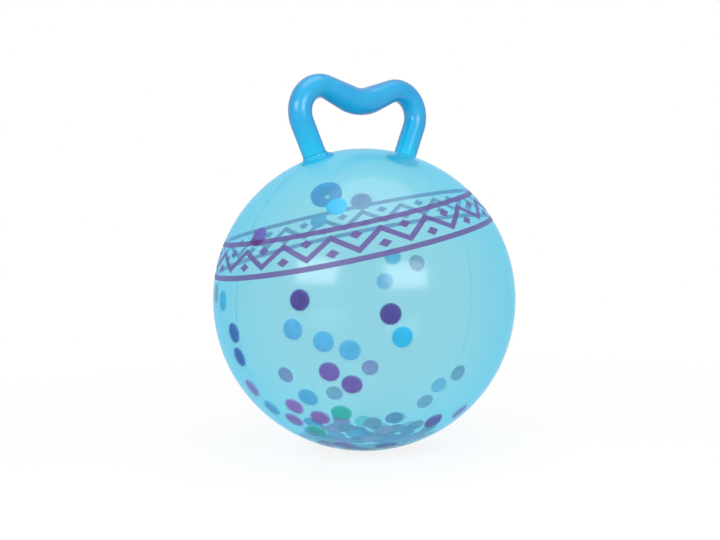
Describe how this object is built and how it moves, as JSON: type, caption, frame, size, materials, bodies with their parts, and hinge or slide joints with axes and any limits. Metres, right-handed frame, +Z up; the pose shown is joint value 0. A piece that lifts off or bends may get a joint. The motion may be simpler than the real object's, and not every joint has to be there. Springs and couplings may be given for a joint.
{
  "type": "hopper ball",
  "caption": "Clear inflated hopper ball with a bent loop handle on top, a plug valve behind it and loose confetti discs inside.",
  "frame": {"origin": "middle of the flat patch that the ball stands on", "axes": "+Z up through the ball and the handle, +X along the grip to the right, -Y towards the front, away from the valve"},
  "size_m": [0.3799, 0.38, 0.4674],
  "materials": {
    "shell": "clear, glossy, tinted pale blue",
    "handle": "soft, glossy, translucent blue",
    "valve": "soft, glossy, deep blue",
    "plug": "soft, milky",
    "confetti_purple": "thin glossy foil with glitter",
    "confetti_violet": "thin glossy foil with glitter",
    "confetti_navy": "thin glossy foil",
    "confetti_sky": "thin glossy foil",
    "confetti_cyan": "thin glossy foil",
    "confetti_silver": "thin glossy foil with glitter",
    "confetti_green": "thin glossy foil",
    "confetti_pink": "thin glossy foil with glitter"
  },
  "bodies": {
    "ball": {"ball_shell": "shell", "handle": "handle", "valve_body": "valve"},
    "plug": {"valve_plug": "plug"},
    "wall_confetti": {"wall_confetti_purple": "confetti_purple", "wall_confetti_violet": "confetti_violet", "wall_confetti_navy": "confetti_navy", "wall_confetti_sky": "confetti_sky", "wall_confetti_cyan": "confetti_cyan", "wall_confetti_silver": "confetti_silver", "wall_confetti_green": "confetti_green", "wall_confetti_pink": "confetti_pink"},
    "heap_confetti": {"heap_confetti_purple": "confetti_purple", "heap_confetti_violet": "confetti_violet", "heap_confetti_navy": "confetti_navy", "heap_confetti_sky": "confetti_sky", "heap_confetti_cyan": "confetti_cyan", "heap_confetti_silver": "confetti_silver", "heap_confetti_green": "confetti_green", "heap_confetti_pink": "confetti_pink"}
  },
  "joints": [
    {"name": "plug_pull", "type": "slide", "parent": "ball", "child": "plug", "axis": [0.188, 0.6556, 0.7314], "range_m": [0, 0.02]},
    {"name": "wall_confetti_turn", "type": "hinge", "parent": "ball", "child": "wall_confetti", "pos_m": [0, 0, 0.18848], "axis": [0, 0, 1], "range_deg": [-120, 120]},
    {"name": "heap_confetti_swing", "type": "hinge", "parent": "ball", "child": "heap_confetti", "pos_m": [0, 0, 0.18848], "axis": [1, 0, 0], "range_deg": [-70, 70]}
  ]
}
